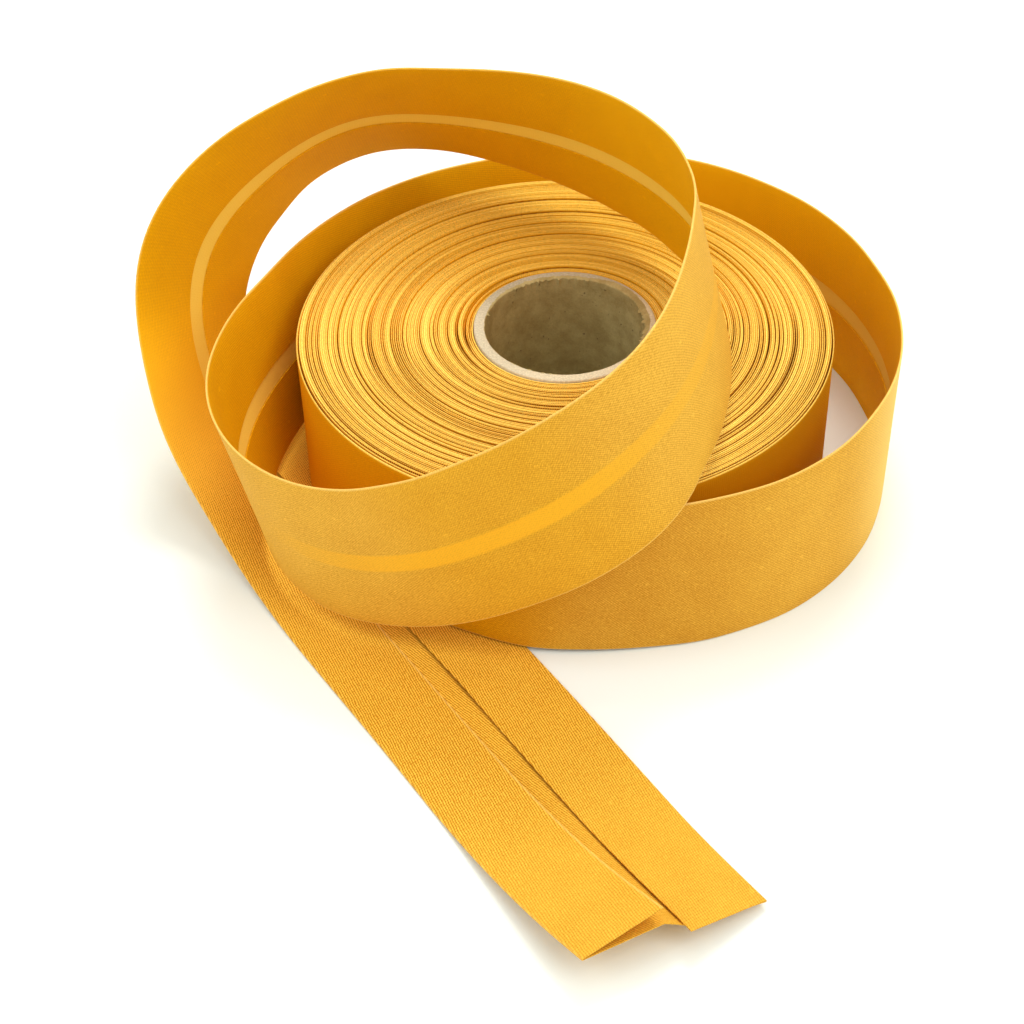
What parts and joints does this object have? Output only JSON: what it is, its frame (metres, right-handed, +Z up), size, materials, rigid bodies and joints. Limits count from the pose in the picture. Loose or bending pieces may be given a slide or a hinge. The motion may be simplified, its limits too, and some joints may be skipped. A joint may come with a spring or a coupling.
{
  "type": "roll of bias binding",
  "caption": "Roll of folded cotton bias binding wound on a cardboard core, its loose end looped round and over the roll and lying out flat.",
  "frame": {"origin": "middle of the whole part's footprint, on the floor it rests on", "axes": "+Z up along the roll's axis, +Y from the free end of the tape towards the back of the roll"},
  "size_m": [0.1684, 0.2186, 0.0859],
  "materials": {
    "core_board": "matt grey board",
    "wound_cloth": "edges of plain woven cotton, mustard",
    "tape_cloth": "plain woven cotton cut on the bias, mustard"
  },
  "bodies": {
    "root": {"core": "core_board", "roll": "wound_cloth", "loose_end": "tape_cloth"}
  },
  "joints": []
}
